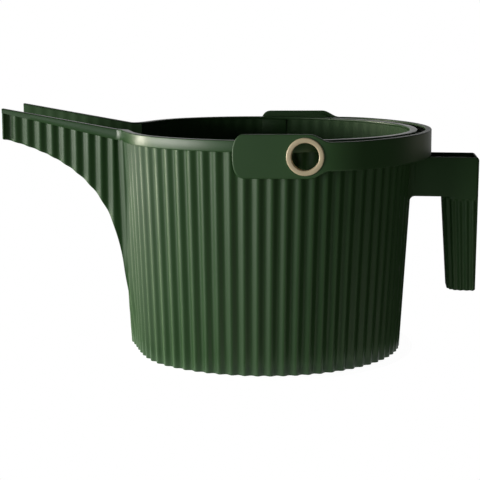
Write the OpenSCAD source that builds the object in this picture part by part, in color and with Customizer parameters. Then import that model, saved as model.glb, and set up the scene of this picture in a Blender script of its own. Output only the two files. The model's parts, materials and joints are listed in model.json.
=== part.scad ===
// Fluted pouring bucket with an open spout, a hollow rear grip and a folding carrying bail.
// Sizes are in millimetres. The origin is on the bucket's axis at the base, +Z is up,
// +X points to the rear grip, and the spout points along -X.

/* [Bucket] */
// Outer diameter of the rim band
rim_d = 300; // [280:1:330]
// Height of the rim's top above the base
bucket_h = 216.5; // [195:0.5:250]
// Diameter over the flute crests at the base
base_d = 273.8; // [255:0.2:285]
// Thickness of the moulded walls
wall = 2.6; // [2:0.1:3.2]
// Thickness of the flat base
base_t = 2.6; // [2:0.1:5]
// Number of flutes round the whole circle
flutes = 72; // [56:4:96]
// Depth of a flute, from its crest to its valley
flute_depth = 2.8; // [1.5:0.1:3.2]

/* [Rim] */
// Height of the plain band at the rim
rim_h = 10.4; // [8:0.2:13]
// How far the band stands proud of the flute crests
rim_proud = 2.7; // [2:0.1:3.5]
// Thickness of the rim's top flange
rim_top_t = 2.6; // [2:0.1:3.4]
// Width of the rim's top
rim_w = 7.2; // [6.4:0.1:9]

/* [Spout] */
// Width over the two bands of the spout
spout_w = 89.4; // [70:0.2:110]
// Reach of the spout's tip beyond the rim
spout_l = 102; // [85:1:120]
// Rise of the tip's top edge above the rim
spout_rise = 18.8; // [10:0.2:30]
// Height of the tip's side, from its floor to its top edge
tip_h = 29.9; // [22:0.1:38]
// Height of the band at the tip
tip_band_h = 4.1; // [3.6:0.1:6]
// Distance between two ribs on the spout's sides
rib_pitch = 12; // [8:0.5:16]
// Depth of a rib, from its crest to its valley
rib_depth = 2.6; // [1.5:0.1:3.2]
// Distance from the tip to the first rib's crest
rib_lead = 0.5; // [0:0.1:6]
// Height of the flat facet under the spout
facet_h = 45; // [25:1:60]
// How far the neck swells outwards before it turns to the tip
neck_out = 9; // [5:0.5:14]
// Depth of the neck's turn below the tip's floor
neck_drop = 60.4; // [45:0.2:75]
// Slope of the spout's floor at the tip, in degrees
floor_slope = 15.7; // [8:0.1:22]
// Length over which the floor settles to that slope
floor_lead = 95.5; // [75:0.5:105]

/* [Rear handle] */
// Width of the arm and the grip
arm_w = 47.6; // [40:0.2:56]
// Reach of the handle's back beyond the rim
arm_l = 59; // [52:0.5:75]
// Depth of the arm's top edge below the rim's top
arm_drop = 25; // [24:0.1:29]
// Height of the arm
arm_h = 38.2; // [30:0.2:46]
// Radius of the arm's upper back corner
arm_corner_r = 3.5; // [1:0.1:6]
// Radius of the fillet under the arm
arm_fillet_r = 5; // [2:0.1:9]
// Height of the grip below the arm
grip_h = 92.3; // [70:0.1:100]
// Depth of the grip, front to back, at its top
grip_top_d = 34.4; // [30:0.1:38]
// Depth of the grip, front to back, at its bottom
grip_bottom_d = 27.3; // [24:0.1:32]
// Radius of the grip's two front corners
grip_front_r = 13; // [9:0.5:14]
// Radius of the grip's two back corners
grip_back_r = 3; // [1.5:0.5:8]
// Number of flutes round the grip
grip_flutes = 22; // [16:2:28]
// Depth of a flute on the grip
grip_flute_depth = 1.8; // [0.8:0.1:2.2]

/* [Bail] */
// Side gap between the rim and the bail's plates
bail_clear = 0.5; // [0.4:0.05:1.2]
// Thickness of the bail's plates
plate_t = 4.6; // [4.2:0.1:6]
// Height of the bail's plates
plate_h = 39; // [36:0.5:46]
// Length of a plate in front of the pivot
plate_nose = 15.8; // [14:0.2:20]
// Length of a plate's rounded end
plate_round = 12; // [8:0.5:14]
// Length of a plate behind the pivot, up to where the strap bends
plate_flat = 62; // [57:0.5:66]
// Distance from the pivot to where a plate begins to narrow
plate_full = 52; // [50:0.5:62]
// Length over which a plate narrows to the strap
plate_taper = 18.5; // [15:0.5:30]
// Height of the strap
strap_h = 25.4; // [22:0.2:26]
// Thickness of the strap at the rear
strap_t = 6; // [4.8:0.1:7]
// Gap between the rim and the strap at the rear
strap_gap = 7.8; // [6:0.1:12]
// Radius of the strap's bend beside the plates
bend_r = 56.5; // [48:0.5:72]
// Gap left between the resting strap and the arm
rest_gap = 0.4; // [0.3:0.05:0.8]

/* [Pivots] */
// Depth of the pivot axis below the rim band
pivot_drop = 3.1; // [2.6:0.1:4.6]
// Diameter of a pivot stud's head
stud_d = 14; // [10:0.5:17]
// Length of the head inside the plate
stud_reach = 3; // [2:0.1:3.2]
// Radial running gap between the head and its socket
stud_fit = 0.05; // [0.02:0.01:0.1]
// Gap left at the closed end of the socket
socket_gap = 0.3; // [0.2:0.05:0.4]
// Diameter of the tenon that holds a stud in its pad
tenon_d = 5; // [3:0.1:5.2]
// Length of the tenon
tenon_l = 4; // [2.5:0.1:4.2]
// Width of the pad behind a plate
pad_w = 26; // [22:0.5:29]
// Height of the pad
pad_h = 22; // [18:0.5:28]
// How far the pad stands proud of the rim band
pad_proud = 0.1; // [0.05:0.05:0.1]

/* [Eyelets] */
// Distance from the pivot axis to the eyelet's centre
eyelet_x = 48.2; // [44:0.2:50]
// Outer diameter of the eyelet's ring
ring_d = 33.4; // [30:0.2:35]
// Diameter of the open hole
hole_d = 24.3; // [20:0.1:25]
// Thickness of the sleeve that lines the plate
sleeve_t = 1.8; // [1.2:0.1:2.2]
// Height of the ring above the plate
ring_t = 1.4; // [1:0.1:2.4]
// Radius of the ring's rounded edges
ring_edge_r = 0.6; // [0.2:0.05:0.9]
// Thickness of the washer behind the plate
washer_t = 1.4; // [0.8:0.1:1.8]

/* [Hidden] */
$fn = 96;

green = [0.10, 0.20, 0.12];
beige = [0.71, 0.63, 0.51];

// The near side faces -Y and the far side faces +Y.
near = -1;
far = 1;
// Facets in one flute, and in one rounded corner
flute_steps = 6;
arc_steps = 8;
// Gap between curved faces of pieces that the moulding joins elsewhere
seam = 0.2;
// Overshoot of a cutting shape past the face that it opens
over = 1;
// Smallest radius of a corner in a hollow
least_r = 0.6;

rim_r = rim_d / 2;
rim_bottom = bucket_h - rim_h;
wall_top = bucket_h - rim_top_t;
base_r = base_d / 2;
crest_top_r = rim_r - rim_proud;
flute_pitch = 360 / flutes;
column_pitch = flute_pitch / flute_steps;

spout_half = spout_w / 2;
spout_reach = rim_r + spout_l;
spout_top = bucket_h + spout_rise;
tip_bottom = spout_top - tip_h;
rib_crest_y = spout_half - rim_proud;

arm_half = arm_w / 2;
arm_top = bucket_h - arm_drop;
arm_bottom = arm_top - arm_h;
handle_reach = rim_r + arm_l;
grip_bottom = arm_bottom - grip_h;
grip_columns = grip_flutes * flute_steps;

pivot_z = rim_bottom - pivot_drop;
plate_in = rim_r + bail_clear;
plate_out = plate_in + plate_t;
strap_in = rim_r + strap_gap;
strap_out = strap_in + strap_t;
// The resting bail tips up a little, because its strap lies on the arm.
bail_tilt = asin((arm_top + rest_gap - pivot_z + strap_h / 2) / strap_in);
pad_face = rim_r + pad_proud;
sleeve_d = hole_d + 2 * sleeve_t;

// Radius of the flute crests at height z
function crest_r(z) = base_r + (crest_top_r - base_r) * z / rim_bottom;

// Radius of the fluted outer face in direction a at height z; valleys lie on the X and Y axes
function flute_r(a, z) = crest_r(z) - flute_depth * (1 + cos(flutes * a)) / 2;

// Distance along X at which a circle of radius r crosses the spout's side plane
function at_spout_side(r) = -sqrt(r * r - spout_half * spout_half);

// X of the flat facet under the spout at height z
function facet_x(z) = at_spout_side(crest_r(z) - flute_depth);

// Angle between -X and the wall's end at height z
function end_angle(z) = asin(spout_half / (crest_r(z) - flute_depth));

// The wall's end on the spout's side plane, as [x, y]; inset moves it into the wall
function wall_end(z, inset, side) =
    [at_spout_side(flute_r(end_angle(z), z) - inset), side * spout_half];

// X of the wall's straight outer edge beside the spout at height z
function edge_x(z) =
    let (t = (z - base_t) / (wall_top - base_t))
    (1 - t) * wall_end(base_t, 0, far).x + t * wall_end(wall_top, 0, far).x;

// Points of the fluted face at height z for the given directions
function fluted_arc(angles, z, inset) =
    [for (a = angles) (flute_r(a, z) - inset) * [cos(a), sin(a)]];

last_column = floor((180 - end_angle(0)) / column_pitch);
wall_angles = [for (i = [-last_column : last_column]) i * column_pitch];

// Plan of the whole wall's face at height z, from one side of the spout to the other
function wall_outline(z, inset) = concat([wall_end(z, inset, near)],
                                         fluted_arc(wall_angles, z, inset),
                                         [wall_end(z, inset, far)]);

// Directions of the flute columns that span a width of 2 * half about the direction middle
function sector_angles(middle, half) =
    let (count = flute_steps * (1 + ceil(asin(half / base_r) / flute_pitch)))
    [for (i = [-count : count]) middle + i * column_pitch];

// A flat outline lifted to height z
function lift(points, z) = [for (p = points) [p.x, p.y, z]];

// Triangles between two rings of n points that start at the indices a and b
function strip(a, b, n, closed) =
    [for (i = [0 : closed ? n - 1 : n - 2], half = [0, 1])
        let (j = (i + 1) % n)
        half == 0 ? [a + i, b + i, b + j] : [a + i, b + j, a + j]];

// Points of an arc from angle a0 to a1
function arc(centre, r, a0, a1, steps = arc_steps) =
    [for (i = [0 : steps]) let (a = a0 + (a1 - a0) * i / steps) centre + r * [cos(a), sin(a)]];

function reversed(points) = [for (i = [len(points) - 1 : -1 : 0]) points[i]];

// An outline drawn in plan or in side view that is thickened along Y, from y0 to y1
module slab(y0, y1) {
    translate([0, y1, 0])
        rotate([90, 0, 0])
            linear_extrude(height = y1 - y0)
                children();
}

module across(width) {
    slab(-width / 2, width / 2)
        children();
}

// The children as drawn for the far side, mirrored for the near side
module on_side(side) {
    mirror([0, side == near ? 1 : 0, 0])
        children();
}

// An open shell between two fluted outlines, each given at the base and at the top
module open_shell(outer_low, outer_high, inner_high, inner_low) {
    n = len(outer_low);
    rings = [0, n, 2 * n, 3 * n];
    sides = [for (k = [0 : 3]) each strip(rings[k], rings[(k + 1) % 4], n, false)];
    first = [for (k = [0, 3, 2, 1]) rings[k]];
    last = [for (k = [0 : 3]) rings[k] + n - 1];
    polyhedron(points = concat(outer_low, outer_high, inner_high, inner_low),
               faces = concat(sides, [first, last]));
}

// Fluted wall of the bucket, open towards the spout
module bucket_wall() {
    color(green)
        open_shell(lift(wall_outline(base_t, 0), base_t), lift(wall_outline(wall_top, 0), wall_top),
                   lift(wall_outline(wall_top, wall), wall_top), lift(wall_outline(base_t, wall), base_t));
}

// Everything inside the wall's outer face about one direction, from radius r out, which cuts the
// foot of a piece that joins the wall
module wall_foot(middle, half, r) {
    angles = sector_angles(middle, half);
    inside = [for (a = angles) r * [cos(a), sin(a)]];
    open_shell(lift(fluted_arc(angles, base_t, 0), base_t), lift(fluted_arc(angles, wall_top, 0), wall_top),
               lift(inside, wall_top), lift(inside, base_t));
}

// Flat base with the fluted outline of the wall and a straight edge under the spout
module bucket_floor() {
    low = wall_outline(0, 0);
    high = wall_outline(base_t, 0);
    n = len(low);
    underside = [for (i = [0 : n - 1]) i];
    top = [for (i = [n - 1 : -1 : 0]) n + i];
    color(green)
        polyhedron(points = concat(lift(low, 0), lift(high, base_t)),
                   faces = concat(strip(0, n, n, true), [underside, top]));
}

// Rim: a top flange with a plain band hanging outside the flutes, open at the spout
module rim_band() {
    skirt_r = crest_r(wall_top) + seam;
    section = [[rim_r - rim_w, bucket_h], [rim_r - rim_w, wall_top], [skirt_r, wall_top],
               [skirt_r, rim_bottom], [rim_r, rim_bottom], [rim_r, bucket_h]];
    color(green)
        difference() {
            rotate_extrude()
                polygon(section);
            translate([-rim_r - over, -spout_half, rim_bottom - over])
                cube([rim_r, spout_w, rim_h + 2 * over]);
        }
}

floor_foot = [facet_x(facet_h), facet_h];
floor_tip = [-spout_reach, tip_bottom];
floor_curve = [floor_foot,
               [floor_foot.x - neck_out, tip_bottom - neck_drop],
               floor_tip + floor_lead * [cos(floor_slope), -sin(floor_slope)],
               floor_tip];
floor_steps = 18;

// Point and direction of the curved part of the spout's floor, for t from 0 to 1
function floor_point(t) =
    pow(1 - t, 3) * floor_curve[0] + 3 * pow(1 - t, 2) * t * floor_curve[1]
    + 3 * (1 - t) * t * t * floor_curve[2] + pow(t, 3) * floor_curve[3];

function floor_direction(t) =
    let (d = pow(1 - t, 2) * (floor_curve[1] - floor_curve[0])
             + 2 * (1 - t) * t * (floor_curve[2] - floor_curve[1])
             + t * t * (floor_curve[3] - floor_curve[2]))
    d / norm(d);

// Side view of the curved floor, moved inwards by inset
function floor_line(inset) =
    [for (i = [0 : floor_steps])
        let (t = i / floor_steps, d = floor_direction(t)) floor_point(t) + inset * [d.y, -d.x]];

// Height of the spout's top edge at x; it leaves the rim in the middle of the rim's width
spout_joint_x = at_spout_side(rim_r - rim_w / 2);
function spout_edge(x) =
    bucket_h + spout_rise * max(0, spout_joint_x - x) / (spout_reach + spout_joint_x);

// Height of the lower edge of the spout's band at x
function band_edge(x) =
    spout_edge(x) - rim_h
    + (rim_h - tip_band_h) * max(0, spout_joint_x - x) / (spout_reach + spout_joint_x);

// Half the spout's width over the ribs at x
function rib_y(x) =
    rib_crest_y - rib_depth * (1 - cos(360 * (x + spout_reach - rib_lead) / rib_pitch)) / 2;

// Plan of the ribbed spout; inset gives its inner face, and lead runs it past the tip
function spout_plan(inset, lead) =
    let (x0 = -spout_reach - lead,
         x1 = max(facet_x(base_t), facet_x(wall_top)) + 2 * wall,
         count = ceil((x1 - x0) * flute_steps / rib_pitch),
         xs = [for (i = [0 : count]) x0 + (x1 - x0) * i / count])
    concat([for (x = xs) [x, inset - rib_y(x)]], [for (x = reversed(xs)) [x, rib_y(x) - inset]]);

// Side view of the inner end of the spout's side at height z, behind the wall's end and the facet
function behind_facet(z) = [max(wall_end(z, wall, far).x, facet_x(z) + wall), z];

// Trough with ribbed sides, whose floor runs down into the flat facet of the bucket
module spout() {
    inner_end = [[wall_end(wall_top, wall, far).x, wall_top], behind_facet(facet_h), behind_facet(base_t)];
    headroom = spout_rise + over;
    outside = concat([[facet_x(base_t), base_t]], floor_line(0),
                     [[-spout_reach, spout_top - rim_top_t], [spout_joint_x, wall_top]], inner_end);
    tip_in = floor_line(wall)[floor_steps];
    beyond = tip_in + 2 * wall * floor_direction(1);
    channel = concat([[0, base_t - over], [facet_x(base_t) + wall, base_t - over]], floor_line(wall),
                     [beyond, [beyond.x, bucket_h + headroom], [0, bucket_h + headroom]]);
    post = concat([[edge_x(base_t), base_t], [edge_x(wall_top), wall_top]], inner_end);
    color(green)
        union() {
            difference() {
                intersection() {
                    across(spout_w)
                        polygon(outside);
                    linear_extrude(height = spout_top)
                        polygon(spout_plan(0, 0));
                }
                intersection() {
                    across(spout_w)
                        polygon(channel);
                    linear_extrude(height = spout_top + headroom)
                        polygon(spout_plan(wall, wall));
                }
            }
            for (side = [near, far])
                on_side(side)
                    slab(rib_crest_y - rib_depth - wall, spout_half)
                        polygon(post);
        }
}

// Band along one top edge of the spout: a flange with a skirt outside the ribs
module spout_rim(side) {
    inner_x = at_spout_side(rim_r - rim_w);
    wall_high_x = edge_x(wall_top);
    wall_low_x = edge_x(rim_bottom);
    flange = [[-spout_reach, spout_top], [spout_joint_x, bucket_h], [inner_x, bucket_h], [inner_x, wall_top],
              [spout_joint_x, wall_top], [-spout_reach, spout_top - rim_top_t]];
    skirt = [[-spout_reach, spout_top], [wall_high_x, spout_edge(wall_high_x)], [wall_high_x, wall_top],
             [wall_low_x, band_edge(wall_low_x)], [-spout_reach, spout_top - tip_band_h]];
    color(green)
        on_side(side)
            union() {
                slab(spout_half - rim_w, spout_half)
                    polygon(flange);
                slab(rib_crest_y + seam, spout_half)
                    polygon(skirt);
            }
}

// Radius of a corner after its faces move in by inset
function inner_r(r, inset) = max(r - inset, least_r);

// Plan of the arm back from x0, with rounded back corners; inset gives its inner faces
function arm_plan(x0, inset) =
    let (half = arm_half - inset,
         r = inner_r(grip_back_r, inset),
         c = [handle_reach - inset - r, half - r])
    concat([[x0, -half]], arc([c.x, -c.y], r, -90, 0), arc(c, r, 0, 90), [[x0, half]]);

// Closed outline of the grip for a front to back depth, which starts in the middle of the back
function grip_outline(depth, inset) =
    let (half = arm_half - inset,
         back = handle_reach - inset,
         back_r = inner_r(grip_back_r, inset),
         front_r = inner_r(grip_front_r, inset),
         b = [back - back_r, half - back_r],
         f = [handle_reach - depth + inset + front_r, half - front_r])
    concat([[back, 0]],
           arc(b, back_r, 0, 90),
           arc(f, front_r, 90, 180),
           arc([f.x, -f.y], front_r, 180, 270),
           arc([b.x, -b.y], back_r, 270, 360),
           [[back, 0]]);

// A closed outline as count points at even distances
function even(outline, count) =
    let (n = len(outline),
         runs = [for (i = 0, s = 0; i < n;
                      i = i + 1, s = s + (i < n ? norm(outline[i] - outline[i - 1]) : 0)) s],
         xs = [for (i = [0 : n - 1]) [runs[i], outline[i].x]],
         ys = [for (i = [0 : n - 1]) [runs[i], outline[i].y]])
    [for (k = [0 : count - 1]) let (s = runs[n - 1] * k / count) [lookup(s, xs), lookup(s, ys)]];

// The even outline with flutes cut into it
function fluted(points) =
    let (n = len(points))
    [for (i = [0 : n - 1])
        let (d = points[(i + 1) % n] - points[(i + n - 1) % n],
             cut = grip_flute_depth * (1 - cos(360 * i / flute_steps)) / 2)
        points[i] - cut * [d.y, -d.x] / norm(d)];

// Inset of the grip's hollow, which leaves a full wall behind the flutes
grip_inset = wall + grip_flute_depth;

// Open channel from the bucket's wall to the top of the grip
module rear_arm() {
    foot_r = min(crest_r(arm_bottom - arm_fillet_r), crest_r(arm_top)) - flute_depth;
    x0 = sqrt(foot_r * foot_r - arm_half * arm_half) - wall;
    wall_x = crest_r(arm_bottom);
    side_view = concat([[x0, arm_top]],
                       arc([handle_reach - arm_corner_r, arm_top - arm_corner_r], arm_corner_r, 90, 0),
                       [[handle_reach, arm_bottom]],
                       arc([wall_x + arm_fillet_r, arm_bottom - arm_fillet_r], arm_fillet_r, 90, 180),
                       [[x0, arm_bottom - arm_fillet_r]]);
    color(green)
        difference() {
            intersection() {
                across(arm_w)
                    polygon(side_view);
                linear_extrude(height = bucket_h)
                    polygon(arm_plan(x0, 0));
            }
            translate([0, 0, arm_bottom + wall])
                linear_extrude(height = arm_h)
                    polygon(arm_plan(x0, wall));
            translate([0, 0, arm_bottom - over])
                linear_extrude(height = arm_h)
                    polygon(grip_outline(grip_top_d, grip_inset));
            wall_foot(0, arm_half, x0 - over);
        }
}

// Hollow fluted grip with a closed bottom, open upwards into the arm
module rear_grip() {
    outer_low = fluted(even(grip_outline(grip_bottom_d, 0), grip_columns));
    outer_high = fluted(even(grip_outline(grip_top_d, 0), grip_columns));
    inner_low = even(grip_outline(grip_bottom_d, grip_inset), grip_columns);
    inner_high = even(grip_outline(grip_top_d, grip_inset), grip_columns);
    n = grip_columns;
    middle = [handle_reach - grip_bottom_d / 2, 0];
    color(green)
        polyhedron(points = concat(lift(outer_low, grip_bottom), lift(outer_high, arm_bottom),
                                   lift(inner_high, arm_bottom), lift(inner_low, grip_bottom + wall),
                                   lift([middle], grip_bottom + wall), lift([middle], grip_bottom)),
                   faces = concat([for (k = [0 : 2]) each strip(k * n, (k + 1) * n, n, true)],
                                  [for (i = [0 : n - 1]) [3 * n + i, 4 * n, 3 * n + (i + 1) % n]],
                                  [for (i = [0 : n - 1]) [i, (i + 1) % n, 4 * n + 1]]));
}

// The children, drawn about +Z, set on the pivot axis at distance y from the middle plane
module on_pivot(side, y) {
    on_side(side)
        translate([0, y, pivot_z])
            rotate([-90, 0, 0])
                children();
}

// Flat pad on the wall, under the band, that carries a pivot stud
module pivot_pad(side) {
    depth = pad_face - (crest_r(rim_bottom - pad_h) - flute_depth - wall);
    color(green)
        difference() {
            on_side(side)
                translate([-pad_w / 2, pad_face - depth, rim_bottom - pad_h])
                    cube([pad_w, depth, pad_h]);
            wall_foot(side * 90, pad_w / 2, pad_face - depth - over);
            on_pivot(side, pad_face - tenon_l)
                cylinder(d = tenon_d, h = tenon_l + over);
        }
}

// Headed stud that the bail turns on
module pivot_stud(side) {
    color(green)
        on_pivot(side, pad_face)
            union() {
                cylinder(d = stud_d, h = plate_in - pad_face + stud_reach);
                translate([0, 0, -tenon_l])
                    cylinder(d = tenon_d, h = tenon_l + over);
            }
}

// The children, drawn with the pivot axis at the origin, set where the resting bail lies
module in_bail() {
    translate([0, 0, pivot_z])
        rotate([0, -bail_tilt, 0])
            children();
}

// The children, drawn about +Z, set on an eyelet's axis at distance y from the middle plane
module on_eyelet(side, y) {
    in_bail()
        on_side(side)
            translate([eyelet_x, y, 0])
                rotate([-90, 0, 0])
                    children();
}

// Plan of one face of the bail: straight sides, two bends and a wide arc round the rear
function bail_line(half, reach, bend) =
    let (a = reach - plate_flat,
         b = half - bend,
         r = (a * a + b * b - bend * bend) / (2 * (a - bend)),
         turn = atan2(b, plate_flat - reach + r))
    concat([[-plate_nose - over, half]],
           arc([plate_flat, b], bend, 90, turn),
           arc([reach - r, 0], r, turn, -turn, 3 * arc_steps),
           arc([plate_flat, -b], bend, -turn, -90),
           [[-plate_nose - over, -half]]);

// Side view of the bail's upper edge, from the plate's end to the strap
function bail_edge() =
    let (high = plate_h / 2, low = strap_h / 2, squareness = 2.6)
    concat([for (i = [0 : arc_steps])
               let (a = 90 * i / arc_steps)
               [plate_round - plate_nose - plate_round * pow(cos(a), 2 / squareness),
                high * pow(sin(a), 2 / squareness)]],
           [for (i = [0 : arc_steps])
               let (t = i / arc_steps)
               [plate_full + plate_taper * t, high + (low - high) * (1 - cos(180 * t)) / 2]],
           [[strap_out + over, low]]);

// Carrying bail: a flat plate on each side, joined by a strap round the rear
module bail() {
    edge = bail_edge();
    below = [for (i = [len(edge) - 1 : -1 : 1]) [edge[i].x, -edge[i].y]];
    color(green)
        difference() {
            in_bail()
                intersection() {
                    translate([0, 0, -plate_h])
                        linear_extrude(height = 2 * plate_h)
                            difference() {
                                polygon(bail_line(plate_out, strap_out, bend_r));
                                polygon([for (p = bail_line(plate_in, strap_in, bend_r - plate_t))
                                            [p.x < 0 ? p.x - over : p.x, p.y]]);
                            }
                    across(2 * plate_out + 2 * over)
                        polygon(concat(edge, below));
                }
            for (side = [near, far]) {
                on_pivot(side, plate_in - over)
                    cylinder(d = stud_d + 2 * stud_fit, h = over + stud_reach + socket_gap);
                on_eyelet(side, plate_in - over)
                    cylinder(d = sleeve_d, h = plate_t + 2 * over);
                on_eyelet(side, plate_in - washer_t - over)
                    cylinder(d = ring_d + 2 * seam, h = washer_t + over);
            }
        }
}

// Ring on the plate's face with a sleeve that runs through the plate and the washer
module eyelet(side) {
    back = -plate_t - washer_t;
    section = concat([[hole_d / 2, back], [sleeve_d / 2, back], [sleeve_d / 2, 0], [ring_d / 2, 0]],
                     arc([ring_d / 2 - ring_edge_r, ring_t - ring_edge_r], ring_edge_r, 0, 90),
                     arc([hole_d / 2 + ring_edge_r, ring_t - ring_edge_r], ring_edge_r, 90, 180));
    color(beige)
        on_eyelet(side, plate_out)
            rotate_extrude()
                polygon(section);
}

// Flat ring that closes the eyelet behind the plate
module eyelet_washer(side) {
    color(green)
        on_eyelet(side, plate_in - washer_t)
            difference() {
                cylinder(d = ring_d, h = washer_t);
                translate([0, 0, -over])
                    cylinder(d = sleeve_d, h = washer_t + 2 * over);
            }
}

bucket_wall();
bucket_floor();
rim_band();
spout();
spout_rim(near);  // spout_rim_near
spout_rim(far);  // spout_rim_far
rear_arm();
rear_grip();
pivot_pad(near);  // pivot_pad_near
pivot_pad(far);  // pivot_pad_far
pivot_stud(near);  // pivot_stud_near
pivot_stud(far);  // pivot_stud_far
bail();
eyelet(near);  // eyelet_near
eyelet(far);  // eyelet_far
eyelet_washer(near);  // eyelet_washer_near
eyelet_washer(far);  // eyelet_washer_far
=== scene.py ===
"""Looks of the fluted pouring bucket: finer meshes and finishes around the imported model, in metres."""

import functools
import json
import math

import bmesh
import bpy
from mathutils import Matrix, Vector


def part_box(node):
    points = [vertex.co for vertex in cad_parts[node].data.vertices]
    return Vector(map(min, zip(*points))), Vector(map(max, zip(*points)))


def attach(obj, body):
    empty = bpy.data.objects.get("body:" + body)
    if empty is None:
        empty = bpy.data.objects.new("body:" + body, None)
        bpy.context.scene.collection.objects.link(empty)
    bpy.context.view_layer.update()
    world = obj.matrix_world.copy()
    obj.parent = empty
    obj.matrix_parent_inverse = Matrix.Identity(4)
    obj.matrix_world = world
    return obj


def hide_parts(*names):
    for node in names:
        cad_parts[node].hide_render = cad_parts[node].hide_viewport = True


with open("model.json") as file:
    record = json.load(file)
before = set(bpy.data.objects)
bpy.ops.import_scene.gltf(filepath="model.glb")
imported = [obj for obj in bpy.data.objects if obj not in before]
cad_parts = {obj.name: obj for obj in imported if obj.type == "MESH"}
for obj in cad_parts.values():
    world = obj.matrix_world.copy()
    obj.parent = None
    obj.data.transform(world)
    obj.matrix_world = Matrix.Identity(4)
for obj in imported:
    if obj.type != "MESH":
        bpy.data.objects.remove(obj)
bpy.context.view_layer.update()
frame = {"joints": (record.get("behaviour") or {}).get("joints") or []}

NEAR = -1
FAR = 1
MM = 0.001

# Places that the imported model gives
rim_low, rim_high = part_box("rim_band")
RIM_R = rim_high.y
RIM_TOP = rim_high.z
RIM_BOTTOM = rim_low.z
RIM_H = RIM_TOP - RIM_BOTTOM
BASE_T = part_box("bucket_floor")[1].z
WALL_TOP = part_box("bucket_wall")[1].z
SPOUT_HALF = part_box("spout_rim_far")[1].y
TIP_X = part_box("spout_rim_far")[0].x
TIP_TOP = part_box("spout_rim_far")[1].z
ARM_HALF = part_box("rear_arm")[1].y
ARM_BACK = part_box("rear_arm")[1].x
ARM_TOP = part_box("rear_arm")[1].z
GRIP_BOTTOM, ARM_BOTTOM = (corner.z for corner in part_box("rear_grip"))
PIVOT = Vector(frame["joints"][0]["pos_m"])
PLATE_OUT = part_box("bail")[1].y
eyelet_low, eyelet_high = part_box("eyelet_far")
EYELET = (eyelet_low + eyelet_high) / 2
RING_R = (eyelet_high.x - eyelet_low.x) / 2
RING_FACE = eyelet_high.y
EYELET_BACK = eyelet_low.y
PAD_LOW, PAD_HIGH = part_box("pivot_pad_far")
STUD_LOW, STUD_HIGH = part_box("pivot_stud_far")
WASHER_LOW, WASHER_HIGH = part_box("eyelet_washer_far")

# Bucket
BAND_PROUD = 2.7 * MM
BASE_R = 136.9 * MM
CREST_TOP_R = RIM_R - BAND_PROUD
WALL = 2.6 * MM
FLUTES = 72
FLUTE_DEPTH = 2.8 * MM
FLUTE_STEPS = 16
BASE_EDGE_R = 0.6 * MM
MOUTH_Z = 105 * MM
MOUTH_HALF = 39 * MM
WALL_ROWS = 6

# Share of the outer flutes and ribs that shows on the inner sides
INNER_FLUTES = 0.2
INNER_RIBS = 0.12

# How far the wall and rim are drawn in beside the spout, and the keel below its neck
EASED = 7.7 * MM
EASED_FULL = math.radians(20)
EASED_END = math.radians(52)
KEEL = 3.5 * MM
KEEL_FULL, KEEL_END = math.radians(6), math.radians(16)
KEEL_SPREAD = math.radians(10)
KEEL_Z, KEEL_FADES, KEEL_TOP = 60 * MM, 95 * MM, 170 * MM

# Rim and spout
RIM_W = 7.2 * MM
FLANGE_T = 2.6 * MM
SKIRT_T = 2.4 * MM
RIM_EDGE_R = 0.8 * MM
CORNER_R = 5.4 * MM
TIP_H = 29.9 * MM
TIP_BAND_H = 4.1 * MM
TIP_BOTTOM = TIP_TOP - TIP_H
EDGE_EASE = 5 * MM
RIB_CREST = SPOUT_HALF - BAND_PROUD
RIB_PITCH = 12 * MM
RIB_DEPTH = 2.6 * MM
RIB_LEAD = 0.5 * MM
RIBS = 10
LAST_RIB_START, LAST_RIB_FULL = -144 * MM, -137.5 * MM
LAST_RIB_LEAN = 0.035
LAST_RIB_SOONER = 2 * MM
LAST_RIB_CREST = TIP_X + RIB_LEAD + RIBS * RIB_PITCH
NECK_FOOT = Vector((-130.6 * MM, 45 * MM))
NECK_LEAN = 0.109
NECK_LEAD = 62.9 * MM
NECK_TAIL = 24 * MM
NECK_NARROWS = 80 * MM
NECK_NARROWED = 20 * MM
TAIL_DEPTH = 6 * MM
FLOOR_SLOPE = math.radians(13.3)
FLOOR_LEAD = 116.6 * MM
SPOUT_EDGE_R = 2 * MM
RIB_LOW = RIB_CREST - RIB_DEPTH
LIP_W = 1.6 * MM
TIP_EDGE_R = 0.4 * MM
SIDE_ROWS, CORNER_ROWS, FLOOR_ROWS = 10, 4, 8
HALF_ROWS = SIDE_ROWS + CORNER_ROWS + FLOOR_ROWS
TROUGH_STEPS, TAIL_STEPS = 240, 40
STRAIGHT_STEPS, ROUND_STEPS = 40, 320

# Rear handle
ARM_FILLET = 5 * MM
ARM_CORNER_R = 3.5 * MM
HANDLE_BACK_R = 3 * MM
GRIP_FRONT_R = 13 * MM
GRIP_TOP_D = 34.4 * MM
GRIP_BOTTOM_D = 27.3 * MM
GRIP_FLUTES = 22
GRIP_FLUTE_DEPTH = 1.8 * MM
GRIP_PLAIN = 2.5 * MM
GRIP_FADE = 3 * MM
GRIP_INSET = WALL + GRIP_FLUTE_DEPTH
ARM_EDGE_R = 0.7 * MM

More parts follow.
